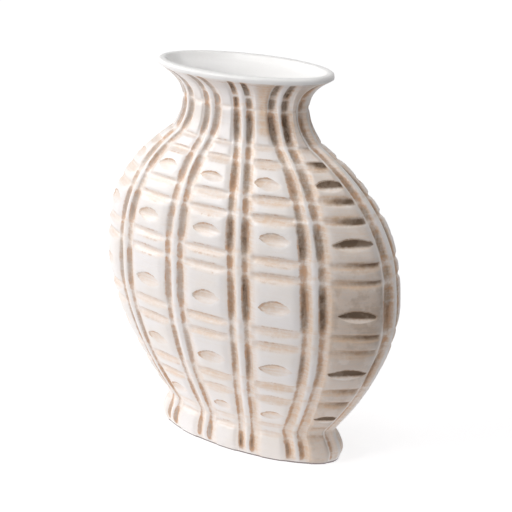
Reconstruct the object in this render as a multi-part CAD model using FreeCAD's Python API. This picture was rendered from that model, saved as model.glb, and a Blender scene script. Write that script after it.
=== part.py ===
import FreeCAD, Part
import bisect
import math
import os

os.makedirs("parts", exist_ok=True)

# Pillow vase: one hollow ceramic shell, wide and flat, on a flared oval foot.
# X is the width, Y the depth, Z up. The origin is the centre of the foot, on the table.
# The outside is one loft through level outlines. Ten upright pairs of grooves and the level
# rings cross in a plaid, and the bands between the rings swell like pillows.

# Full widths and depths of the oval outlines, from the rim down
rim_width = 195.0
rim_depth = 93.0
neck_width = 145.0
neck_depth = 55.0
shoulder_width = 174.0
shoulder_depth = 69.0
body_width = 340.0
body_depth = 136.0
waist_width = 203.0
waist_depth = 78.0
foot_width = 217.0
foot_depth = 86.0

# Heights of those outlines, stacked from the table up
foot_roll_height = 10.0
waist_height = 32.5
belly_rise = 137.5
shoulder_rise = 142.0
neck_rise = 31.0
flare_rise = 37.0

belly_height = waist_height + belly_rise
shoulder_height = belly_height + shoulder_rise
neck_height = shoulder_height + neck_rise
overall_height = neck_height + flare_rise

# Powers of the curves between the outlines: 2 is a parabola, more is squarer
lower_arch_power = 1.8
upper_arch_power = 2.7
neck_power = 2.0
flare_power = 2.5

# Wall, lip, floor and foot ring
wall_thickness = 6.0
lip_height = 13.0
lip_face_height = 6.0
lip_round = 2.5
lip_flat = 5.0
floor_thickness = 8.0
foot_edge_round = 3.0
foot_ring_width = 9.0
foot_recess = 4.0
cut_overrun = 5.0
slope_step = 1.0

# Upright pairs of grooves round the vase, one pair on each narrow end. The two grooves of a
# pair stand closer together where the vase is narrow.
pair_count = 10
belly_pair_spacing = 17.0
neck_pair_spacing = 13.5
stroke_width = 7.0
stroke_depth = 2.6
pair_spread_share = 0.2

# Level rings: a fine pair of grooves round the waist, pairs down the body and a single groove
# under the neck, at shares of the way up from the waist to the shoulder
ring_pair_shares = [0.164, 0.382, 0.629, 0.82]
single_ring_share = 0.955
ring_spacing = 16.0
ring_groove_width = 8.5
ring_groove_depth = 1.8
waist_ring_spacing = 10.0
waist_groove_width = 5.0
waist_groove_depth = 1.3
ring_end_share = 0.2
band_swell = 1.0
low_band_height = 12.0
high_band_height = 35.0

# Places of the levels between one ring and the next, and between neck and lip
middle_step_shares = [1 / 2]
high_band_step_shares = [1 / 3, 2 / 3]
flare_step_shares = [0.4, 0.75]
arc_samples = 180

# Sides of the inside, and its levels in each stretch from the waist up
inside_sides = 32
lower_cavity_levels = 8
upper_cavity_levels = 10
neck_cavity_levels = 4
flare_cavity_levels = 4


def half_size(z, foot, waist, body, shoulder, neck, rim):
    """Half the width or depth of the vase at height z, from its full sizes."""
    if z < foot_roll_height:
        share = 1 - z / foot_roll_height
        return foot / 2 - foot_edge_round * share ** 2
    if z < waist_height:
        share = (z - foot_roll_height) / (waist_height - foot_roll_height)
        return (foot + waist) / 4 + (foot - waist) / 4 * math.cos(math.pi * share)
    if z < belly_height:
        share = (belly_height - z) / (belly_height - waist_height)
        return body / 2 - (body - waist) / 2 * share ** lower_arch_power
    if z < shoulder_height:
        share = (z - belly_height) / (shoulder_height - belly_height)
        return body / 2 - (body - shoulder) / 2 * share ** upper_arch_power
    if z < neck_height:
        share = (neck_height - z) / (neck_height - shoulder_height)
        return neck / 2 + (shoulder - neck) / 2 * share ** neck_power
    share = min(1.0, (z - neck_height) / (overall_height - lip_face_height - neck_height))
    return neck / 2 + (rim - neck) / 2 * share ** flare_power


def half_width(z):
    return half_size(z, foot_width, waist_width, body_width, shoulder_width, neck_width, rim_width)


def half_depth(z):
    return half_size(z, foot_depth, waist_depth, body_depth, shoulder_depth, neck_depth, rim_depth)


class Outline:
    """One level ellipse of the outside, measured along its edge from the +X end."""

    def __init__(self, z, swell):
        self.z = z
        self.a = half_width(z) + swell
        self.b = half_depth(z) + swell
        self.lengths = [0.0]
        for i in range(arc_samples):
            start = self.on_ellipse(2 * math.pi * i / arc_samples)
            end = self.on_ellipse(2 * math.pi * (i + 1) / arc_samples)
            self.lengths.append(self.lengths[-1] + start.distanceToPoint(end))
        self.length = self.lengths[-1]

    def on_ellipse(self, angle):
        return FreeCAD.Vector(self.a * math.cos(angle), self.b * math.sin(angle), self.z)

    def frame_at(self, along):
        """The point at a length along the edge, with its outward and forward directions."""
        along = along % self.length
        i = bisect.bisect_right(self.lengths, along) - 1
        rest = (along - self.lengths[i]) / (self.lengths[i + 1] - self.lengths[i])
        angle = 2 * math.pi * (i + rest) / arc_samples
        outward = FreeCAD.Vector(math.cos(angle) * self.b, math.sin(angle) * self.a, 0)
        outward.normalize()
        forward = FreeCAD.Vector(-outward.y, outward.x, 0)
        return self.on_ellipse(angle), outward, forward

    def pair_spacing(self):
        """How far apart the two grooves of a pair are at this level."""
        full_share = (self.a - neck_width / 2) / (body_width / 2 - neck_width / 2)
        return neck_pair_spacing + (belly_pair_spacing - neck_pair_spacing) * full_share ** 2

    def pair_centre(self, number):
        """Pairs spread a little towards the narrow ends where the vase draws in."""
        share = number / pair_count
        if number % (pair_count // 2) == 0:
            return share * self.length
        middle_share = 0.25 if share < 0.5 else 0.75
        drawn_in_share = 1 - self.a / (body_width / 2)
        spread = 1 + pair_spread_share * drawn_in_share
        return (middle_share + (share - middle_share) * spread) * self.length


class Level:
    """One height of the outside: the depth of its ring and strokes, and its swell."""

    def __init__(self, z, ring=0.0, stroke=stroke_depth, swell=0.0):
        self.z = z
        self.ring = ring
        self.ring_end = ring * ring_end_share
        self.stroke = max(stroke, self.ring_end)
        self.outline = Outline(z, swell)
        self.middle = self.outline.pair_spacing() / 2
        self.side = self.middle + stroke_width / 2

    def wire(self):
        edges = []
        for number in range(pair_count):
            edges += self.pair_edges(number)
            edges.append(self.panel_edge(number))
        return Part.Wire(edges)

    def pair_edges(self, number):
        """Groove, rib and groove: four straight edges across the pair."""
        places = [(-self.side, self.ring_end), (-self.middle, self.stroke), (0.0, 0.0),
                  (self.middle, self.stroke), (self.side, self.ring_end)]
        points = []
        for place, depth in places:
            point, outward, forward = self.outline.frame_at(self.outline.pair_centre(number) + place)
            points.append(point - outward * depth)
        return [Part.makeLine(p, q) for p, q in zip(points, points[1:])]

    def panel_edge(self, number):
        """One cubic curve from this pair to the next, dipped in the middle by the ring."""
        start = self.outline.pair_centre(number) + self.side
        end = self.outline.pair_centre((number + 1) % pair_count) - self.side
        reach = ((end - start) % self.outline.length) / 3
        dip = self.ring_end + (self.ring - self.ring_end) * 4 / 3
        p, p_outward, p_forward = self.outline.frame_at(start)
        q, q_outward, q_forward = self.outline.frame_at(end)
        curve = Part.BezierCurve()
        curve.setPoles([p - p_outward * self.ring_end,
                        p + p_forward * reach - p_outward * dip,
                        q - q_forward * reach - q_outward * dip,
                        q - q_outward * self.ring_end])
        return curve.toShape()


def ring_height(share):
    return waist_height + (shoulder_height - waist_height) * share


def ring_pair(height, spacing, width, depth):
    """Two level grooves with a raised rib between them."""
    middle = spacing / 2
    edge = middle + width / 2
    return [Level(height - edge), Level(height - middle, depth), Level(height),
            Level(height + middle, depth), Level(height + edge)]


def single_ring(height):
    edge = ring_groove_width / 2
    return [Level(height - edge), Level(height, ring_groove_depth), Level(height + edge)]


def band_steps(height):
    """A low band has no level of its own, and a high one has two."""
    if height < low_band_height:
        return []
    return middle_step_shares if height < high_band_height else high_band_step_shares


def band(low, high, shares):
    """Levels between two others, swollen in the middle of the band."""
    swells = [band_swell * math.sin(math.pi * share) for share in shares]
    return [Level(low.z + (high.z - low.z) * share, swell=swell) for share, swell in zip(shares, swells)]


def outside():
    """The solid form of the vase, from the table to the lip, before it is hollowed."""
    rings = [ring_pair(waist_height, waist_ring_spacing, waist_groove_width, waist_groove_depth)]
    rings += [ring_pair(ring_height(share), ring_spacing, ring_groove_width, ring_groove_depth)
              for share in ring_pair_shares]
    rings.append(single_ring(ring_height(single_ring_share)))
    rings += [[Level(shoulder_height)], [Level(neck_height)]]
    levels = [Level(0.0), Level(foot_roll_height)]
    for ring in rings:
        levels += band(levels[-1], ring[0], band_steps(ring[0].z - levels[-1].z))
        levels += ring
    lip_start = overall_height - lip_height
    levels += band(levels[-1], Level(lip_start), flare_step_shares)
    for z in (lip_start, overall_height - lip_face_height, overall_height - lip_round):
        levels.append(Level(z, stroke=0.0))
    levels.append(Level(overall_height, stroke=0.0, swell=-lip_round))
    return Part.makeLoft([level.wire() for level in levels], True, True)


def facing(number):
    """The way that a side of the inside faces, which is the same at every height."""
    angle = 2 * math.pi * (number + 1 / 2) / inside_sides
    return FreeCAD.Vector(body_depth * math.cos(angle), body_width * math.sin(angle), 0).normalize()


def oval(z, a, b):
    """The corners of a level oval of many short sides, inside the ellipse of half sizes a and b."""
    inscribed = math.cos(math.pi / inside_sides)
    corners = []
    for number in range(inside_sides):
        p = facing(number - 1)
        q = facing(number)
        p_reach = inscribed * math.hypot(a * p.x, b * p.y)
        q_reach = inscribed * math.hypot(a * q.x, b * q.y)
        turn = p.x * q.y - q.x * p.y
        corners.append(FreeCAD.Vector((p_reach * q.y - q_reach * p.y) / turn,
                                      (p.x * q_reach - q.x * p_reach) / turn, z))
    return corners


def flat_face(corners):
    return Part.Face(Part.makePolygon(corners + corners[:1]))


def banded_solid(ovals):
    """A solid with flat faces between each oval and the next."""
    faces = [flat_face(ovals[0]), flat_face(ovals[-1])]
    for low, high in zip(ovals, ovals[1:]):
        for i in range(inside_sides):
            faces.append(flat_face([low[i - 1], low[i], high[i], high[i - 1]]))
    return Part.Solid(Part.Shell(faces))


def behind_wall(z):
    """The outline of the inside that lies one wall thickness behind height z of the outside."""
    slope = (half_width(z + slope_step) - half_width(z - slope_step)) / (2 * slope_step)
    lean = math.hypot(1, slope)
    inset = wall_thickness / lean
    rise = wall_thickness * slope / lean
    return oval(z + rise, half_width(z) - inset, half_depth(z) - inset)


def stretch(low, high, count):
    """Even heights from low to just under high."""
    return [low + (high - low) * i / count for i in range(count)]


def cavity():
    """The hollow of the vase, from its floor out through the mouth."""
    floor = foot_recess + floor_thickness
    heights = stretch(waist_height, belly_height, lower_cavity_levels)
    heights += stretch(belly_height, shoulder_height, upper_cavity_levels)
    heights += stretch(shoulder_height, neck_height, neck_cavity_levels)
    heights += stretch(neck_height, overall_height - lip_face_height, flare_cavity_levels)
    ovals = [oval(floor, half_width(floor) - wall_thickness, half_depth(floor) - wall_thickness)]
    ovals += [behind_wall(z) for z in heights]
    inset = lip_round + lip_flat
    for rise in (0.0, cut_overrun):
        ovals.append(oval(overall_height + rise, rim_width / 2 - inset + rise,
                          rim_depth / 2 - inset + rise))
    return banded_solid(ovals)


def foot_hollow():
    """The shallow recess underneath that leaves a ring to stand on."""
    inset = foot_edge_round + foot_ring_width
    outline = oval(-cut_overrun, foot_width / 2 - inset, foot_depth / 2 - inset)
    return flat_face(outline).extrude(FreeCAD.Vector(0, 0, cut_overrun + foot_recess))


def vase_body():
    return outside().cut(cavity()).cut(foot_hollow())


vase_body().exportStep("parts/vase_body.step")
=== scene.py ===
import math

import bpy
import numpy as np
from mathutils import Matrix, Vector


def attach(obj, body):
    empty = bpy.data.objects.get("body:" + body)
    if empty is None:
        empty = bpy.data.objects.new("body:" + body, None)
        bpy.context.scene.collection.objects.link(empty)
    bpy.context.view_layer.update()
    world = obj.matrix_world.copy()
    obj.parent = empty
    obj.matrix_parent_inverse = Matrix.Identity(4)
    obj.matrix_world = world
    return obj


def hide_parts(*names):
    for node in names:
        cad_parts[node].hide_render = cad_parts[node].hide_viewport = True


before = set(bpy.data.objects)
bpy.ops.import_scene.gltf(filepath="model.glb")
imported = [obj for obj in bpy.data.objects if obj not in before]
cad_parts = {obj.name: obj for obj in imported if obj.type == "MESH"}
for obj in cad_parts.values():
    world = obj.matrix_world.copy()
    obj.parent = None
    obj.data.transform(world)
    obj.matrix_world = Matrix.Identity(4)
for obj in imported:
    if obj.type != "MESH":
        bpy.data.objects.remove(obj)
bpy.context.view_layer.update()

# A wide, flat vase of glazed white clay. Ten upright pairs of carved strokes cross level rings,
# and every panel between them carries an eye-shaped dimple. Sizes are in millimetres until the
# mesh is made; X is the width, Y the depth and Z up, with the centre of the foot at the origin.

MILLIMETRE = 0.001

# Full width and depth of the oval outlines, as the solid has them
RIM = (195.0, 93.0)
NECK = (145.0, 55.0)
SHOULDER = (174.0, 69.0)
BODY = (340.0, 136.0)
WAIST = (203.0, 78.0)
FOOT = (217.0, 86.0)

# Their heights above the table
FOOT_ROLL_Z = 10.0
WAIST_Z = 32.5
BELLY_Z = 170.0
SHOULDER_Z = 312.0
NECK_Z = 343.0
TOP_Z = 380.0

LOWER_POWER = 1.8
UPPER_POWER = 2.7
NECK_POWER = 2.0
FLARE_POWER = 2.5

WALL = 6.0
LIP_HEIGHT = 7.0
LIP_Z = TOP_Z - LIP_HEIGHT
LIP_FACE = 6.0
LIP_ROUND = 2.5
FLOOR_Z = 12.0
FOOT_EDGE = 3.0
FOOT_RING = 9.0
FOOT_RECESS = 4.0
# Height of the band of bare clay round the bottom of the outside, its dark colour painting the contact shadow
# at the table
BARE_SHADOW_EDGE_Z = 1.9

# The upright pairs: the strokes of a pair stand closer where the vase is narrow
PAIRS = 10
BELLY_SPACING = 17.0
NECK_SPACING = 13.5
SPREAD = 0.2
PAIR_MARGIN = 5.0
STROKE_DEPTH = 2.9
STROKE_HALF_WIDTH = 5.2
RIB_RISE = 1.3
CARVED_BACK = 1.0
PANEL_RISE = 1.5

# The level rings on the body, each of two grooves
RING_HEIGHTS = (78.3, 139.3, 208.3, 261.7)
RING_HALF_SPACING = 8.0
RING_DEPTH = 2.2
RING_WIDTH = 9.5

# All level grooves from the waist up: height, depth and width of each cut
LEVEL_GROOVES = [(27.5, 1.4, 6.0), (37.5, 1.4, 6.0)]
for ring_z in RING_HEIGHTS:
    for way in (-1, 1):
        LEVEL_GROOVES.append((ring_z + way * RING_HALF_SPACING, RING_DEPTH, RING_WIDTH))
LEVEL_GROOVES += [(299.4, 2.0, 8.0), (SHOULDER_Z + 0.5, 1.2, 5.0), (NECK_Z + 2.0, 0.9, 4.5)]
GROOVE_HEIGHTS = [groove[0] for groove in LEVEL_GROOVES]

# Where the strokes are broken between the foot and the lip; depth, tone and width of each dash
STROKE_ENDS = [4.5, 24.0] + GROOVE_HEIGHTS[1:] + [357.5, LIP_Z + 2.5]
DASH_DEPTHS = [0.8, 0.4, 0.85, 0.6, 1.0, 0.6, 1.0, 0.6, 1.0, 0.6, 0.95, 0.7, 0.8, 0.6, 0.5]
DASH_TONES = [1.0, 0.5, 0.75, 0.6, 0.85, 0.65, 1.0, 0.8, 1.0, 0.8, 0.95, 0.8, 1.1, 1.15, 1.25]
DASH_WIDTHS = [0.58, 0.5, 0.6, 0.62, 0.78, 0.76, 0.95, 0.88, 1.0, 0.9, 1.0, 0.85, 0.88, 0.5, 0.45]

# The eye-shaped dimples: height of each row and its size against the widest one
DIMPLE_ROWS = [(51.0, 0.72), (106.0, 0.95), (169.5, 1.05), (234.5, 1.0), (283.0, 0.8)]
EYE_LENGTH = 36.0
EYE_HEIGHT = 13.0

# How heavily the wash lies in each upright pair and in the panel that follows it; the heavier values on pairs
# 9 and 0 and on panel 9, at the +X end of the front, are partly painted shade
PAIR_WASH_AND_SHADE = np.array([1.05, 0.8, 0.9, 0.8, 0.6, 0.45, 0.45, 0.47, 0.92, 1.12])
PANEL_WASH_AND_SHADE = np.array([0.9, 0.8, 0.9, 0.7, 0.9, 0.5, 0.55, 0.65, 0.85, 1.45])

# The panel with the heaviest wash and painted shade darkens towards its +X side above a height, painted
# shade where it turns from the lamps; the neck of the panel before it has tan streaks and painted shade
HEAVY_WASH_AND_SHADE_PANEL = 9
SHADE_DEEPENING_Z = BELLY_Z + 30
STREAKED_AND_SHADED_PANEL = 8
NECK_TAN_START_Z = 316
NECK_TAN_FULL_Z = 326

# Panels beside the ends: between these heights their grooves sit higher and end in a sharp lower edge
UNDERCUT_PANELS = (4, 9)
UNDERCUT_Z = 230.0
UNDERCUT_TOP_Z = SHOULDER_Z - 20
UNDERCUT_LIFT = 3.5

# How strongly heavy wash pools in the level grooves above and below UNDERCUT_Z; this brown is partly painted
# shade in the grooves
POOLING_AND_SHADE_HIGH = 1.8
POOLING_AND_SHADE_LOW = 1.35

# Rows down the inside: the throat is close-set, and the wall below it is not
THROAT_TOP_Z = 371.0
THROAT_LOW_Z = 300.0
INSIDE_TOP_Z = 280.0

# Rows over the top of the lip: distance in from the rim, and drop below the highest point
LIP_STEPS = ((5.0, 0.1), (6.8, 0.2), (7.9, 0.9))

# Rows across the floor inside: share of its size, and rise above it
FLOOR_STEPS = ((0.98, 3.0), (0.9, 0.0), (0.6, 0.0), (0.25, 0.0))

# Rows across the recess under the foot, as shares of its size
RECESS_SHARES = (0.25, 0.6)

# How the mesh is divided
PAIR_COLUMNS = 24
PANEL_COLUMNS = 18
OUTSIDE_ROWS = 186
THROAT_ROWS = 15
INSIDE_ROWS = 10

hand = np.random.default_rng(26)


def smooth(edge0, edge1, value):
    share = np.clip((value - edge0) / (edge1 - edge0), 0, 1)
    return share * share * (3 - 2 * share)


def hump(centre, reach, value):
    """A soft rise to one at the centre that fades over the reach on both sides."""
    return np.exp(-((value - centre) / reach) ** 2)


# The plain oval form

def half_size(z, axis):
    """Half the width (axis 0) or depth (axis 1) of the outside at each height."""
    foot, waist, body, shoulder, neck, rim = [
        size[axis] / 2 for size in (FOOT, WAIST, BODY, SHOULDER, NECK, RIM)]
    z = np.asarray(z, float)
    roll = np.clip(1 - z / FOOT_ROLL_Z, 0, 1)
    swing = np.clip((z - FOOT_ROLL_Z) / (WAIST_Z - FOOT_ROLL_Z), 0, 1)
    low = np.clip((BELLY_Z - z) / (BELLY_Z - WAIST_Z), 0, 1)
    high = np.clip((z - BELLY_Z) / (SHOULDER_Z - BELLY_Z), 0, 1)
    throat = np.clip((NECK_Z - z) / (NECK_Z - SHOULDER_Z), 0, 1)
    flare = np.clip((z - NECK_Z) / (TOP_Z - LIP_FACE - NECK_Z), 0, 1)
    return np.select(
        [z < FOOT_ROLL_Z, z < WAIST_Z, z < BELLY_Z, z < SHOULDER_Z, z < NECK_Z],
        [foot - FOOT_EDGE * roll ** 2,
         (foot + waist) / 2 + (foot - waist) / 2 * np.cos(math.pi * swing),
         body - (body - waist) * low ** LOWER_POWER,
         body - (body - shoulder) * high ** UPPER_POWER,
         neck + (shoulder - neck) * throat ** NECK_POWER],
        neck + (rim - neck) * flare ** FLARE_POWER)


def edge_table(a, b, samples=720):
    """Angles round an ellipse and the length along its edge at each."""
    angle = np.linspace(0, 2 * math.pi, samples + 1)
    x, y = a * np.cos(angle), b * np.sin(angle)
    steps = np.hypot(np.diff(x), np.diff(y))
    return angle, np.concatenate([[0.0], np.cumsum(steps)])


def pair_centres(a, length):
    """Where the middle of each upright pair lies along the edge of one level."""
    spread = 1 + SPREAD * (1 - a / (BODY[0] / 2))
    places = []
    for number in range(PAIRS + 1):
        share = number / PAIRS
        if number % (PAIRS // 2):
            middle = 0.25 if share < 0.5 else 0.75
            share = middle + (share - middle) * spread
        places.append(share * length)
    return np.array(places)


def spacing_at(a):
    full = (a - NECK[0] / 2) / (BODY[0] / 2 - NECK[0] / 2)
    return NECK_SPACING + (BELLY_SPACING - NECK_SPACING) * full ** 2


def row_heights():
    """Heights of the mesh's rows, closer together at the level grooves and on the flare."""
    fine = np.linspace(0.0, TOP_Z - LIP_ROUND, 4000)
    slope = np.gradient(half_size(fine, 0), fine)
    weight = np.sqrt(1 + np.minimum(slope ** 2, 4.0))
    for height in GROOVE_HEIGHTS:
        weight += 0.9 * hump(height, 4.0, fine)
    travel = np.concatenate([[0.0], np.cumsum((weight[1:] + weight[:-1]) / 2 * np.diff(fine))])
    rows = np.interp(np.linspace(0, travel[-1], OUTSIDE_ROWS), travel, fine)
    return np.concatenate([[0.0, BARE_SHADOW_EDGE_Z], rows[rows > BARE_SHADOW_EDGE_Z + 0.3]])


# The carving

class Grid:
    """The places of the outside mesh: one row per height, one column per place round the vase.

    offset is the distance along the edge from the middle of the column's own pair, share runs
    from 0 to 1 across the panel after it, and apart is the distance from the nearest pair."""

    def __init__(self):
        self.z = row_heights()
        self.a, self.b = half_size(self.z, 0), half_size(self.z, 1)
        self.spacing = spacing_at(self.a)[:, None]
        half = self.spacing / 2 + PAIR_MARGIN
        in_pair = np.arange(PAIR_COLUMNS) / PAIR_COLUMNS
        in_panel = np.arange(PANEL_COLUMNS) / PANEL_COLUMNS
        self.share = np.tile(np.concatenate([np.zeros(PAIR_COLUMNS), in_panel]), PAIRS)
        self.pair = np.repeat(np.arange(PAIRS), PAIR_COLUMNS + PANEL_COLUMNS)
        self.nearest = np.where(self.share > 0.5, self.pair + 1, self.pair) % PAIRS
        tables = [edge_table(a, b) for a, b in zip(self.a, self.b)]
        centres = np.array([pair_centres(a, table[1][-1]) for a, table in zip(self.a, tables)])
        pitch = np.diff(centres, axis=1)
        offsets = []
        for number in range(PAIRS):
            offsets.append(half * (2 * in_pair - 1))
            offsets.append(half + (pitch[:, number, None] - 2 * half) * in_panel)
        self.offset = np.concatenate(offsets, axis=1)
        self.panel = (pitch - 2 * half)[:, self.pair]
        self.apart = np.where(self.share > 0.5, self.offset - pitch[:, self.pair], self.offset)
        place = centres[:, self.pair] + self.offset
        self.angle = np.array([np.interp(along % table[1][-1], table[1], table[0])
                               for along, table in zip(place, tables)])
        self.height = np.repeat(self.z[:, None], len(self.share), axis=1)
        self.across = 4 * self.share * (1 - self.share)


def left_at_end(low, high):
    """Shares of a dash's depth, tone and width that are left on the two narrow ends."""
    if low > SHOULDER_Z - 15:
        return 0.6, 0.75, 0.5
    if low > BELLY_Z + 40:
        return 0.6, 1.0, 0.65
    if high < WAIST_Z + 8:
        return 0.6, 0.55, 0.5
    return 1.0, 1.0, 1.0


class Carving:
    """How far the surface stands out at each place, and the stains that lie in it."""

    def __init__(self, grid):
        self.grid = grid
        shape = grid.height.shape
        self.out = np.zeros(shape)
        self.tan = np.zeros(shape)
        self.brown = np.zeros(shape)
        self.eye = np.full(shape, -1.0)
        self.eye_stain_and_shade = np.zeros(shape)
        panel = smooth(0.0, 0.2, grid.across)
        self.wash = np.tile(PAIR_WASH_AND_SHADE[grid.nearest] * (1 - panel) + PANEL_WASH_AND_SHADE[grid.pair] * panel,
                            (len(grid.z), 1))
        self.swell_panels()
        self.cut_level_grooves()
        self.press_dimples()
        self.cut_strokes()
        self.raise_ribs()
        self.leave_lip_smooth()

    def stain(self, name, amount):
        setattr(self, name, np.maximum(getattr(self, name), amount))

    def swell_panels(self):
        """Each panel is a low pillow with rounded edges between its grooves."""
        grid = self.grid
        edge = smooth(0.0, 0.55, grid.across)
        marks = [0.0] + GROOVE_HEIGHTS + [LIP_Z]
        rise = np.zeros_like(self.out)
        for low, top in zip(marks, marks[1:]):
            share = np.clip((grid.height - low) / (top - low), 0, 1)
            rise += min(1.0, (top - low) / 30.0) * smooth(0.0, 0.7, 4 * share * (1 - share))
        self.out += PANEL_RISE * edge * (0.5 + 0.5 * rise) - CARVED_BACK
        from_stroke = np.abs(grid.apart) - grid.spacing / 2 - STROKE_HALF_WIDTH
        border = np.where(grid.apart > 0, 0.6 * (1 - smooth(0.0, 7.5, from_stroke)),
                          0.25 * (1 - smooth(-1.0, 3.0, from_stroke))) * smooth(-5.0, -1.0, from_stroke)
        self.stain("tan", border * (1 - 0.5 * smooth(300, 330, grid.height)))
        # Painted shade: the heaviest panel darkens towards its +X side, and its wash above 1 is partly
        # painted shade
        deepening_shade = 0.12 * (2 * grid.share - 1) * (grid.pair == HEAVY_WASH_AND_SHADE_PANEL)
        self.wash *= 1 + deepening_shade * (grid.height > SHADE_DEEPENING_Z)
        heavy_wash_and_shade = np.clip(self.wash - 1.0, 0, 1) * smooth(0.0, 0.6, grid.across)
        self.stain("tan", 0.7 * heavy_wash_and_shade)
        # Tan streaks on the neck of the panel before the heaviest one, thickening across it: partly painted
        # shade where the neck turns from the lamps
        neck_streaks_and_shade = np.where(grid.pair == STREAKED_AND_SHADED_PANEL, smooth(0.0, 0.6, grid.share), 0)
        neck_streaks_and_shade = neck_streaks_and_shade * (grid.share > 0) * smooth(NECK_TAN_START_Z, NECK_TAN_FULL_Z, grid.height)
        self.stain("tan", 0.9 * neck_streaks_and_shade)
        self.wash = self.wash + 0.45 * neck_streaks_and_shade

    def cut_level_grooves(self):
        """A sharp upper edge, and a floor that slopes out below it; some are the other way up."""
        grid = self.grid
        count = len(LEVEL_GROOVES)
        tilts = hand.uniform(-0.5, 0.5, (2, PAIRS, count))
        forces = hand.uniform(0.8, 1.15, (PAIRS, count))
        lens = grid.across ** 0.33
        inside = grid.share > 0
        for index, (height, depth, width) in enumerate(LEVEL_GROOVES):
            start, end = tilts[:, grid.pair, index]
            tilt = np.where(inside, start + (end - start) * grid.share, 0)
            cut = width * (0.4 + 0.6 * lens)
            fall = (height + tilt + 0.42 * cut - grid.height) / cut
            if UNDERCUT_Z < height < UNDERCUT_TOP_Z:
                turned = 0.95 - fall - UNDERCUT_LIFT / width
                fall = np.where(np.isin(grid.pair, UNDERCUT_PANELS), turned, fall)
            shape = smooth(0.0, 0.2, fall) * (1 - smooth(0.45, 1.05, fall))
            amount = np.where(inside, 0.3 + 0.7 * lens, 0.2) * forces[grid.pair, index]
            self.out -= depth * amount * shape
            full = min(1.0, depth / 2.0)
            self.stain("tan", 0.9 * full * amount * smooth(-0.1, 0.12, fall)
                       * (1 - smooth(0.85, 1.15, fall)))
            # Brown lines along the groove's edges, the one at the sharp edge painted shade; brown flooding
            # the grooves of heavily washed panels, growing across each panel (towards +X on the front), is
            # partly painted shade
            line = 0.6 * hump(0.06, 0.1, fall) + 0.42 * hump(0.95, 0.08, fall)
            flood_and_shade = ((0.6 + 0.8 * grid.share) * np.clip(self.wash - 0.9, 0, 1)
                     * smooth(-0.1, 0.2, fall) * (1 - smooth(0.3, 1.1, fall)))
            pooling_and_shade = POOLING_AND_SHADE_HIGH if height > UNDERCUT_Z else POOLING_AND_SHADE_LOW
            self.stain("brown", full * amount * np.maximum(line, pooling_and_shade * flood_and_shade))

    def press_dimples(self):
        """Eye-shaped hollows in the middle of the panels; eye is positive inside each one."""
        grid = self.grid
        for height, size in DIMPLE_ROWS:
            shift = hand.uniform(-1.5, 1.5, PAIRS)[grid.pair]
            lift = hand.uniform(-1.2, 1.2, PAIRS)[grid.pair]
            turn = hand.uniform(-0.05, 0.05, PAIRS)[grid.pair]
            long = size * hand.uniform(0.9, 1.1, PAIRS)[grid.pair] * EYE_LENGTH / 2
            long = long * np.where(np.isin(grid.pair, UNDERCUT_PANELS), 1.15, 1.0)
            tall = size * hand.uniform(0.88, 1.12, PAIRS)[grid.pair] * EYE_HEIGHT / 2
            along = (grid.share - 0.5) * grid.panel - shift
            up = (grid.height - height - lift - turn * along) / tall
            body = 1 - (along / long) ** 2
            eye = np.clip(np.sign(body) * np.abs(body) ** 1.05 - np.abs(up), -1, 1)
            eye = np.where(grid.share > 0, eye, -1)
            # More stain on each dimple's upper part and its start end: wash in the hollow, with painted shade
            # of the walls turned from the lamps
            stain = np.clip(0.45 + 0.4 * np.clip(up, -1, 1) - 0.4 * np.clip(along / long, -1, 1), 0, 1)
            stain = np.where(np.isin(grid.pair, UNDERCUT_PANELS), np.clip(0.5 + 0.5 * up, 0, 1), stain)
            self.eye_stain_and_shade = np.where(eye > self.eye, stain, self.eye_stain_and_shade)
            self.eye = np.maximum(self.eye, eye)
            slope = np.where(up > 0, smooth(0.0, 0.5, eye), smooth(0.0, 0.9, eye))
            self.out -= 2.0 * size * slope
            self.out += 0.35 * size * hump(-0.12, 0.14, eye) * smooth(0.0, 0.5, -up)

    def dashes(self):
        """Depth, tone, half width and drift of the two strokes of every pair, row by row."""
        z = self.grid.z
        depth = np.zeros((PAIRS, 2, len(z)))
        tone, width, drift = np.zeros_like(depth), np.zeros_like(depth), np.zeros_like(depth)
        middles = [(low + high) / 2 for low, high in zip(STROKE_ENDS, STROKE_ENDS[1:])]
        faint = 0.45 * smooth(1.0, 6.0, z) * (1 - 0.6 * smooth(NECK_Z - 2, NECK_Z + 6, z))
        faint *= 1 - smooth(LIP_Z - 5, LIP_Z + 1, z)
        for pair in range(PAIRS):
            broad = 1 + max(0.0, PAIR_WASH_AND_SHADE[pair] - 0.95)
            for side in (0, 1):
                for low, high, deep, dark, wide in zip(STROKE_ENDS, STROKE_ENDS[1:], DASH_DEPTHS,
                                                       DASH_TONES, DASH_WIDTHS):
                    if pair % (PAIRS // 2) == 0:
                        shares = left_at_end(low, high)
                        deep, dark, wide = shares[0] * deep, shares[1] * dark, shares[2] * wide
                    force = hand.uniform(0.88, 1.1)
                    share = np.clip((z - low - hand.uniform(-0.8, 0.8)) / (high - low), 0, 1)
                    lens = np.clip(1 - np.abs(2 * share - 1) ** 4, 0, 1)
                    depth[pair, side] = np.maximum(depth[pair, side], deep * force * lens)
                    tone[pair, side] = np.maximum(tone[pair, side], dark * force * lens ** 0.5)
                    full = STROKE_HALF_WIDTH * wide * (0.78 + 0.22 * lens ** 0.5) * broad
                    width[pair, side] = np.maximum(width[pair, side], full)
                depth[pair, side] = np.maximum(depth[pair, side], faint)
                tone[pair, side] = np.maximum(tone[pair, side], faint)
                wander = hand.uniform(-0.7, 0.7, len(middles))
                drift[pair, side] = np.interp(z, middles, wander) + 0.4 * np.sin(z / 23.0 + 1.7 * pair)
        return depth, tone, width, drift

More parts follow.
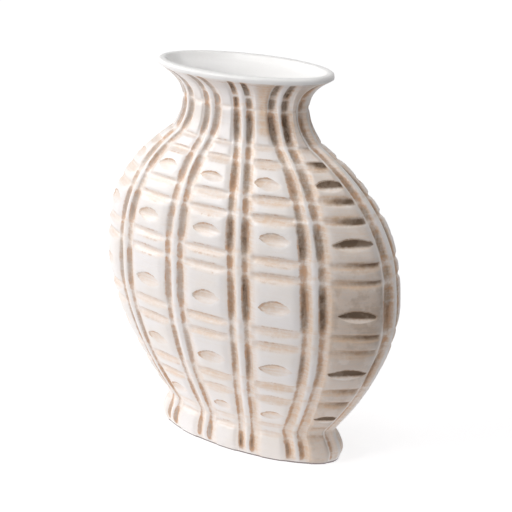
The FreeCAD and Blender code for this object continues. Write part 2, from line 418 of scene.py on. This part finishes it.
    def cut_strokes(self):
        """The wash in every stroke: brown laid on one side only, as painted shade of the wall turned from the
        lamps, thinning out to tan on the other.
        """
        grid = self.grid
        depth, tone, width, drift = self.dashes()
        solid = np.interp(grid.height, [24, 30, 70, 150], [-0.5, -0.8, -0.75, -0.35])
        faded = np.interp(grid.height, [24, 30, 70, 150], [0.5, -0.1, 0.1, 0.9])
        tan_end = np.interp(grid.height, [NECK_Z, NECK_Z + 8], [1.5, 1.0])
        at_end = 0.6 * (grid.nearest % (PAIRS // 2) == 0) * (grid.height > WAIST_Z)
        at_end = at_end * (1 - smooth(SHOULDER_Z - 30, SHOULDER_Z - 10, grid.height))
        for side in (0, 1):
            middle = (side - 0.5) * grid.spacing + drift[grid.nearest, side].T
            groove = (grid.apart - middle) / width[grid.nearest, side].T
            self.out -= STROKE_DEPTH * depth[grid.nearest, side].T * np.clip(1 - groove ** 2, 0, 1)
            dark = tone[grid.nearest, side].T
            # Brown on the low side of the groove only: real wash, placed as painted shade of that wall
            self.stain("brown", dark * smooth(-1.15, -0.8, groove)
                       * (1 - smooth(solid + at_end, faded + at_end, groove)))
            self.stain("tan", np.minimum(1.0, 1.4 * dark) * smooth(-0.95, -0.6, groove)
                       * (1 - smooth(tan_end - 0.6, tan_end, groove)))

    def raise_ribs(self):
        """The rib inside each pair, with a knot at every level groove."""
        grid = self.grid
        on_rib = hump(0.0, 0.23 * grid.spacing, grid.apart)
        ends = smooth(2.0, 10.0, grid.height) * (1 - smooth(355.0, LIP_Z, grid.height))
        rib = RIB_RISE * ends
        for height in GROOVE_HEIGHTS:
            rib += 0.4 * hump(height, 2.4, grid.height) - 0.5 * hump(height + 3.8, 1.6, grid.height)
            self.stain("tan", 0.7 * on_rib * hump(height + 3.8, 1.8, grid.height))
        self.out += on_rib * rib

    def leave_lip_smooth(self):
        """The lip stands a little proud of the carving, with a thin brown line under it that is painted shade
        of the lip's edge.
        """
        self.stain("brown", 0.35 * hump(LIP_Z - 1.0, 1.5, self.grid.height))
        body = 1 - smooth(LIP_Z - 0.5, LIP_Z + 2.0, self.grid.height)
        self.out *= body
        self.tan *= body
        self.brown *= body


# The mesh

def oval_row(a, b, z, angle):
    return np.stack([a * np.cos(angle), b * np.sin(angle), np.full_like(angle, z)], axis=1)


def outside_rows(grid, carving):
    """Points of the carved outside, row by row from the table to the lip."""
    a, b = grid.a[:, None], grid.b[:, None]
    out_x, out_y = b * np.cos(grid.angle), a * np.sin(grid.angle)
    size = np.hypot(out_x, out_y)
    x = a * np.cos(grid.angle) + carving.out * out_x / size
    y = b * np.sin(grid.angle) + carving.out * out_y / size
    return list(np.stack([x, y, grid.height], axis=2))


def lip_and_inside_rows(angle):
    """Rows over the rounded lip, down the inside wall and across the floor of the vase."""
    rows = []
    top_a, top_b = RIM[0] / 2, RIM[1] / 2
    for turn in np.radians(np.linspace(15, 90, 6)):
        back = LIP_ROUND * (1 - math.cos(turn))
        rows.append(oval_row(top_a - back, top_b - back,
                             TOP_Z - LIP_ROUND + LIP_ROUND * math.sin(turn), angle))
    for inset, drop in LIP_STEPS:
        rows.append(oval_row(top_a - inset, top_b - inset, TOP_Z - drop, angle))
    heights = np.concatenate([np.linspace(THROAT_TOP_Z, THROAT_LOW_Z, THROAT_ROWS),
                              np.linspace(INSIDE_TOP_Z, WAIST_Z, INSIDE_ROWS)])
    for z in heights:
        slope = float(half_size(z + 1, 0) - half_size(z - 1, 0)) / 2
        lean = math.hypot(1, slope)
        rows.append(oval_row(float(half_size(z, 0)) - WALL / lean, float(half_size(z, 1)) - WALL / lean,
                             z + WALL * slope / lean, angle))
    floor_a, floor_b = [float(half_size(FLOOR_Z, axis)) - WALL for axis in (0, 1)]
    for share, rise in FLOOR_STEPS:
        rows.append(oval_row(floor_a * share, floor_b * share, FLOOR_Z + rise, angle))
    return rows


def underside_rows(angle):
    """Rows from the middle of the recess out to the edge of the ring that the vase stands on."""
    foot_a, foot_b = [float(half_size(0.0, axis)) for axis in (0, 1)]
    rows = [oval_row((foot_a - FOOT_RING) * share, (foot_b - FOOT_RING) * share, FOOT_RECESS, angle)
            for share in RECESS_SHARES]
    for inset, z in ((FOOT_RING + 2.0, FOOT_RECESS), (FOOT_RING + 0.6, FOOT_RECESS - 0.5),
                     (FOOT_RING, 1.0), (FOOT_RING - 1.0, 0.0), (1.2, 0.0)):
        rows.append(oval_row(foot_a - inset, foot_b - inset, z, angle))
    return rows


# Finishes: carved glaze, plain glaze, and bare clay whose band up the outside paints the contact shadow
CARVED, PLAIN, BARE_CLAY_AND_SHADOW = 0, 1, 2


def make_vase(materials):
    """The whole vase as one closed skin: recess, foot ring, carved outside, lip, inside, floor."""
    grid = Grid()
    carving = Carving(grid)
    outside = outside_rows(grid, carving)
    under = underside_rows(grid.angle[0])
    inside = lip_and_inside_rows(grid.angle[-1])
    rows = under + outside + inside
    columns = len(grid.share)
    lip_row = len(under) + int(np.searchsorted(grid.z, LIP_Z))
    places = np.concatenate(rows + [[[0, 0, FOOT_RECESS], [0, 0, FLOOR_Z]]])
    faces, finishes = [], []
    for row in range(len(rows) - 1):
        finish = BARE_CLAY_AND_SHADOW if row <= len(under) else CARVED if row < lip_row else PLAIN
        for i in range(columns):
            j = (i + 1) % columns
            faces.append((row * columns + i, row * columns + j,
                          (row + 1) * columns + j, (row + 1) * columns + i))
            finishes.append(finish)
    last = (len(rows) - 1) * columns
    bottom, floor = len(places) - 2, len(places) - 1
    for i in range(columns):
        j = (i + 1) % columns
        faces += [(j, i, bottom), (last + i, last + j, floor)]
        finishes += [BARE_CLAY_AND_SHADOW, PLAIN]
    mesh = bpy.data.meshes.new("vase")
    mesh.from_pydata([tuple(place) for place in places * MILLIMETRE], [], faces)
    for material in materials:
        mesh.materials.append(material)
    mesh.polygons.foreach_set("material_index", finishes)
    mesh.polygons.foreach_set("use_smooth", [True] * len(faces))
    for name, values, blank in (("tan_wash", carving.tan, 0), ("brown_wash", carving.brown, 0),
                                ("wash", carving.wash, 0), ("eye", carving.eye, -1),
                                ("eye_stain_and_shade", carving.eye_stain_and_shade, 0)):
        flat = np.full(len(places), float(blank))
        start = len(under) * columns
        flat[start:start + values.size] = values.ravel()
        mesh.attributes.new(name, "FLOAT", "POINT").data.foreach_set("value", flat.astype(np.float32))
    mesh.update()
    vase = bpy.data.objects.new("vase", mesh)
    bpy.context.scene.collection.objects.link(vase)
    return vase


# Finishes

def new_material(name):
    material = bpy.data.materials.new(name)
    material.use_nodes = True
    tree = material.node_tree
    tree.nodes.clear()
    output = tree.nodes.new("ShaderNodeOutputMaterial")
    return material, tree, output


def feed(tree, socket, value):
    """Links a socket to another node's output, or sets it to a plain value."""
    if hasattr(value, "is_output"):
        tree.links.new(value, socket)
    else:
        socket.default_value = value


def add_node(tree, kind, inputs=None, **settings):
    node = tree.nodes.new(kind)
    for name, value in settings.items():
        setattr(node, name, value)
    for name, value in (inputs or {}).items():
        feed(tree, node.inputs[name], value)
    return node


def maths(tree, operation, first, *others):
    """One operation carried out along a row of values."""
    for value in others:
        first = add_node(tree, "ShaderNodeMath", {0: first, 1: value}, operation=operation).outputs[0]
    return first


def blend_colours(tree, amount, first, second):
    node = add_node(tree, "ShaderNodeMix", {0: amount, 6: first, 7: second}, data_type="RGBA")
    return node.outputs[2]


def noise(tree, place, scale, detail=4.0, roughness=0.55):
    return add_node(tree, "ShaderNodeTexNoise", {"Vector": place, "Scale": scale, "Detail": detail,
                                                 "Roughness": roughness}).outputs["Fac"]


def between(tree, value, low, high, start=0.0, end=1.0):
    """A smooth step from start to end as the value goes from low to high."""
    return add_node(tree, "ShaderNodeMapRange",
                    {"Value": value, "From Min": low, "From Max": high, "To Min": start, "To Max": end},
                    interpolation_type="SMOOTHSTEP").outputs["Result"]


def object_place(tree, scale=(1.0, 1.0, 1.0)):
    place = add_node(tree, "ShaderNodeTexCoord").outputs["Object"]
    return add_node(tree, "ShaderNodeMapping", {"Vector": place, "Scale": scale}).outputs["Vector"]


def glaze_flow_group():
    """Cloudiness, fine specks and the slow waves of a dipped glaze, used inside and outside."""
    group = bpy.data.node_groups.new("glaze_flow", "ShaderNodeTree")
    for name, kind, way in (("Place", "NodeSocketVector", "INPUT"), ("Cloud", "NodeSocketFloat", "OUTPUT"),
                            ("Specks", "NodeSocketFloat", "OUTPUT"), ("Height", "NodeSocketFloat", "OUTPUT")):
        group.interface.new_socket(name, in_out=way, socket_type=kind)
    place = group.nodes.new("NodeGroupInput").outputs["Place"]
    end = group.nodes.new("NodeGroupOutput")
    feed(group, end.inputs["Cloud"], between(group, noise(group, place, 24.0, 5.0), 0.3, 0.72))
    feed(group, end.inputs["Specks"], between(group, noise(group, place, 900.0, 2.0), 0.7, 0.8))
    waves = maths(group, "MULTIPLY", noise(group, place, 75.0, 3.0), 0.8)
    pits = maths(group, "MULTIPLY", noise(group, place, 420.0, 2.0), 0.2)
    feed(group, end.inputs["Height"], maths(group, "ADD", waves, pits))
    return group


WHITE_GLAZE = (0.885, 0.85, 0.84, 1)
CREAM_GLAZE = (0.86, 0.775, 0.69, 1)
LIP_WHITE = (0.895, 0.885, 0.875, 1)
LIP_SHADE = (0.88, 0.86, 0.84, 1)
TAN_WASH = (0.75, 0.55, 0.395, 1)
BROWN_WASH = (0.14, 0.093, 0.06, 1)
RUST_LINE = (0.60, 0.36, 0.22, 1)
UMBER_WASH_AND_SHADE = (0.43, 0.36, 0.31, 1)
FIRED_CLAY_AND_SHADOW = (0.24, 0.20, 0.20, 1)
PALE_CLAY_AND_SHADOW = (0.36, 0.31, 0.30, 1)
PAPER_GREY = (0.42, 0.41, 0.42, 1)
PAPER_PALE = (0.46, 0.45, 0.46, 1)

# How bright the paper looks near the vase and far off, and how much light it throws back there: the paper
# glows with that light itself, a painted stand-in for bounce light
PAPER_NEAR = 0.80
PAPER_FAR = 1.0
BOUNCE_NEAR = 0.6
BOUNCE_FAR = 0.12
ROOM_LIGHT = 0.05
FLOOR_REACH = 6.0


def glaze(name, flow, white, shade, paint=None):
    """Glossy white glaze; paint adds the wash and returns the colour and how dull it is."""
    material, tree, output = new_material(name)
    surface = add_node(tree, "ShaderNodeGroup", node_tree=flow)
    feed(tree, surface.inputs["Place"], object_place(tree))
    cloud = surface.outputs["Cloud"]
    colour = blend_colours(tree, maths(tree, "MULTIPLY", cloud, 0.45), white, shade)
    dull = 0.0
    if paint:
        colour, dull = paint(tree, colour)
    specks = maths(tree, "MULTIPLY", surface.outputs["Specks"], 0.3)
    colour = blend_colours(tree, specks, colour, BROWN_WASH)
    roughness = maths(tree, "ADD", maths(tree, "MULTIPLY", cloud, 0.1), 0.31, dull)
    bump = add_node(tree, "ShaderNodeBump", {"Height": surface.outputs["Height"],
                                             "Strength": 0.45, "Distance": 0.0018})
    shader = add_node(tree, "ShaderNodeBsdfPrincipled",
                      {"Base Color": colour, "Roughness": roughness, "Normal": bump.outputs["Normal"],
                       "IOR": 1.5})
    feed(tree, output.inputs["Surface"], shader.outputs[0])
    return material


def mask(tree, name):
    return add_node(tree, "ShaderNodeAttribute", attribute_name=name).outputs["Fac"]


def rubbed_wash(tree, glaze_colour):
    """Tan round the carving, brown in its depths and rusty patches where the brown ends; an umber tone on the
    heavy panel and part of the brown are painted shade.
    """
    wash, eye, eye_stain_and_shade = mask(tree, "wash"), mask(tree, "eye"), mask(tree, "eye_stain_and_shade")
    place = object_place(tree)
    grain = noise(tree, place, 230.0, 5.0, 0.7)
    patches = between(tree, noise(tree, place, 55.0, 4.0, 0.6), 0.4, 0.62)
    level_streaks = noise(tree, object_place(tree, (0.2, 0.2, 3.0)), 190.0, 4.0, 0.6)
    upright_streaks = between(tree, noise(tree, object_place(tree, (1.0, 1.0, 0.2)), 330.0, 3.0, 0.6),
                              0.25, 0.7, 0.7, 1.0)
    height = add_node(tree, "ShaderNodeSeparateXYZ", {"Vector": place}).outputs["Z"]
    heavy_wash_and_shade = between(tree, wash, 1.0, 1.45)
    ragged = maths(tree, "MULTIPLY", maths(tree, "SUBTRACT", grain, 0.5), 0.7)
    lid = maths(tree, "ADD", eye, maths(tree, "MULTIPLY", ragged, 0.35))
    # Tan, a dark lid line and brown in each dimple follow the dimple stain mask: wash in the hollow, partly
    # painted shade of its upper wall
    in_eye = maths(tree, "MULTIPLY", between(tree, lid, -0.08, 0.16),
                   between(tree, eye_stain_and_shade, 0.0, 0.8, 0.35, 1.0))
    lid_line = maths(tree, "MULTIPLY", between(tree, lid, -0.12, 0.02),
                     between(tree, eye, 0.03, 0.45, 1.0, 0.0), between(tree, eye_stain_and_shade, 0.2, 0.8), 0.72)
    shaded = maths(tree, "MULTIPLY", between(tree, lid, 0.0, 0.25), between(tree, eye_stain_and_shade, 0.15, 0.6),
                   heavy_wash_and_shade, 1.4)
    tan = maths(tree, "MAXIMUM", mask(tree, "tan_wash"), in_eye)
    tan = maths(tree, "MULTIPLY", tan, between(tree, level_streaks, 0.3, 0.62, 0.48, 0.97),
                between(tree, grain, 0.35, 0.6, 0.65, 1.05),
                maths(tree, "ADD", maths(tree, "MULTIPLY", wash, 0.6), 0.36))
    brown = maths(tree, "MAXIMUM", mask(tree, "brown_wash"), lid_line, shaded)
    brown = between(tree, maths(tree, "ADD", brown, ragged), 0.15, 1.2)
    rust = maths(tree, "MULTIPLY", brown, maths(tree, "SUBTRACT", 1.0, brown),
                 between(tree, grain, 0.38, 0.58, 0.5, 1.0),
                 maths(tree, "MAXIMUM", patches, between(tree, height, 0.05, 0.14, 1.0, 0.0)),
                 between(tree, heavy_wash_and_shade, 0.0, 1.0, 3.8, 1.0))
    brown = maths(tree, "MULTIPLY", brown, maths(tree, "MAXIMUM", upright_streaks, heavy_wash_and_shade),
                  between(tree, patches, 0.0, 1.0, 0.85, 1.1), maths(tree, "MINIMUM", wash, 1.0), 1.05)
    # Painted highlight: the umber shade is taken off the lower half of each dimple, where that slope faces
    # the lamps
    lit_lower_lid = maths(tree, "MULTIPLY", between(tree, lid, 0.0, 0.25),
                      between(tree, eye_stain_and_shade, 0.3, 0.5, 1.0, 0.0))
    # Painted shade: umber over the heavy panel, strongest around belly height
    shade = maths(tree, "MULTIPLY", heavy_wash_and_shade, between(tree, patches, 0.0, 1.0, 0.5, 0.75),
                  maths(tree, "SUBTRACT", 1.0, lit_lower_lid), between(tree, height, 0.12, 0.15, 0.9, 1.35),
                  between(tree, height, 0.185, 0.23, 1.0, 0.35))
    brushed = maths(tree, "MULTIPLY", between(tree, level_streaks, 0.5, 0.7), 0.25)
    colour = blend_colours(tree, brushed, glaze_colour, CREAM_GLAZE)
    colour = blend_colours(tree, shade, colour, UMBER_WASH_AND_SHADE)
    colour = blend_colours(tree, tan, colour, TAN_WASH)
    colour = blend_colours(tree, brown, colour, BROWN_WASH)
    return blend_colours(tree, rust, colour, RUST_LINE), maths(tree, "MULTIPLY", brown, 0.5)


def bare_clay_and_contact_shadow():
    """Fired clay that the glaze was wiped from, on the ring that the vase stands on; darkened, and carried up
    the outside as a thin band, to paint the contact shadow.
    """
    material, tree, output = new_material("bare_clay_and_contact_shadow")
    grain = noise(tree, object_place(tree), 500.0, 6.0, 0.7)
    colour = blend_colours(tree, between(tree, grain, 0.3, 0.7), FIRED_CLAY_AND_SHADOW, PALE_CLAY_AND_SHADOW)
    bump = add_node(tree, "ShaderNodeBump", {"Height": grain, "Strength": 0.5, "Distance": 0.0006})
    shader = add_node(tree, "ShaderNodeBsdfPrincipled",
                      {"Base Color": colour, "Roughness": between(tree, grain, 0.2, 0.8, 0.75, 0.95),
                       "Normal": bump.outputs["Normal"]})
    feed(tree, output.inputs["Surface"], shader.outputs[0])
    return material


def seen_directly(tree):
    """One for rays that the camera or a shiny or clear surface sends out, zero for the rest."""
    path = add_node(tree, "ShaderNodeLightPath").outputs
    return maths(tree, "MAXIMUM", path["Is Camera Ray"], path["Is Glossy Ray"], path["Is Transmission Ray"])


def white_paper():
    """The studio floor: white to the eye, with the soft shadow of the vase kept, and glowing towards the vase
    as painted bounce light.
    """
    material, tree, output = new_material("white_paper")
    place = object_place(tree)
    fibre = noise(tree, place, 60.0)
    colour = blend_colours(tree, fibre, PAPER_GREY, PAPER_PALE)
    paper = add_node(tree, "ShaderNodeBsdfDiffuse", {"Color": colour})
    reach = add_node(tree, "ShaderNodeVectorMath", {0: place}, operation="LENGTH").outputs["Value"]
    white = between(tree, reach, 0.3, 2.2, PAPER_NEAR, PAPER_FAR)
    bounce = between(tree, reach, 0.12, 0.45, BOUNCE_NEAR, BOUNCE_FAR)
    seen = seen_directly(tree)
    glow = maths(tree, "ADD", maths(tree, "MULTIPLY", seen, white),
                 maths(tree, "MULTIPLY", maths(tree, "SUBTRACT", 1.0, seen), bounce))
    light = add_node(tree, "ShaderNodeEmission", {"Color": (1, 1, 1, 1), "Strength": glow})
    both = add_node(tree, "ShaderNodeAddShader", {0: paper.outputs[0], 1: light.outputs[0]})
    feed(tree, output.inputs["Surface"], both.outputs[0])
    return material


# The studio

def studio_floor(material):
    mesh = bpy.data.meshes.new("floor")
    corners = [(-FLOOR_REACH, -FLOOR_REACH, 0), (FLOOR_REACH, -FLOOR_REACH, 0),
               (FLOOR_REACH, FLOOR_REACH, 0), (-FLOOR_REACH, FLOOR_REACH, 0)]
    mesh.from_pydata(corners, [], [(0, 1, 2, 3)])
    mesh.materials.append(material)
    floor = bpy.data.objects.new("floor", mesh)
    bpy.context.scene.collection.objects.link(floor)


def studio_world():
    world = bpy.data.worlds.new("studio")
    bpy.context.scene.world = world
    world.use_nodes = True
    tree = world.node_tree
    tree.nodes.clear()
    output = tree.nodes.new("ShaderNodeOutputWorld")
    strength = maths(tree, "ADD", maths(tree, "MULTIPLY", seen_directly(tree), 1 - ROOM_LIGHT), ROOM_LIGHT)
    background = add_node(tree, "ShaderNodeBackground", {"Color": (1, 1, 1, 1), "Strength": strength})
    feed(tree, output.inputs["Surface"], background.outputs[0])


def soft_lamp(name, direction, distance, size, power):
    """A square softbox that points at the middle of the vase from the given direction."""
    data = bpy.data.lights.new(name, "AREA")
    data.shape = "SQUARE"
    data.size = size
    data.energy = power
    lamp = bpy.data.objects.new(name, data)
    way = Vector(direction).normalized()
    lamp.matrix_world = (Matrix.Translation(Vector((0, 0, TOP_Z / 2 * MILLIMETRE)) + way * distance)
                         @ way.to_track_quat("Z", "Y").to_matrix().to_4x4())
    bpy.context.scene.collection.objects.link(lamp)


# Where the camera stands, from a fit to the photograph: lengths in metres, the sensor in millimetres
AZIMUTH = math.radians(37.29)
ELEVATION = math.radians(18.84)
ROLL = math.radians(-0.93)
DISTANCE = 1.59519
AIM_Z = 0.19001
ASIDE = 0.00829
FOCAL_SHARE = 3.2033
SENSOR = 36.0


def place_camera():
    back = Vector((math.sin(AZIMUTH) * math.cos(ELEVATION),
                   -math.cos(AZIMUTH) * math.cos(ELEVATION), math.sin(ELEVATION)))
    right = Vector((math.cos(AZIMUTH), math.sin(AZIMUTH), 0))
    up = back.cross(right)
    rolled_right = right * math.cos(ROLL) + up * math.sin(ROLL)
    rolled_up = up * math.cos(ROLL) - right * math.sin(ROLL)
    data = bpy.data.cameras.new("camera")
    data.sensor_fit = "HORIZONTAL"
    data.sensor_width = SENSOR
    data.lens = FOCAL_SHARE * SENSOR
    data.dof.use_dof = False
    data.clip_start = 0.05
    data.clip_end = 30.0
    camera = bpy.data.objects.new("camera", data)
    turn = Matrix((rolled_right, rolled_up, back)).transposed()
    stand = Vector((0, 0, AIM_Z)) + back * DISTANCE + right * ASIDE
    camera.matrix_world = Matrix.Translation(stand) @ turn.to_4x4()
    bpy.context.scene.collection.objects.link(camera)
    bpy.context.scene.camera = camera


flow = glaze_flow_group()
vase = make_vase([glaze("washed_white_glaze", flow, WHITE_GLAZE, CREAM_GLAZE, rubbed_wash),
                  glaze("plain_white_glaze", flow, LIP_WHITE, LIP_SHADE), bare_clay_and_contact_shadow()])
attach(vase, "root")
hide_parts("vase_body")

studio_floor(white_paper())
studio_world()
place_camera()
soft_lamp("left_softbox", (-0.9, -0.35, 0.38), 1.9, 0.9, 16.8)
soft_lamp("front_softbox", (-0.47, -0.8, 0.42), 2.2, 1.0, 21.3)
soft_lamp("right_reflector", (0.95, -0.45, 0.3), 2.0, 0.9, 3.8)
soft_lamp("overhead_softbox", (0.3, -0.1, 1.0), 1.8, 1.0, 12.6)

bpy.context.scene.view_settings.view_transform = "Standard"
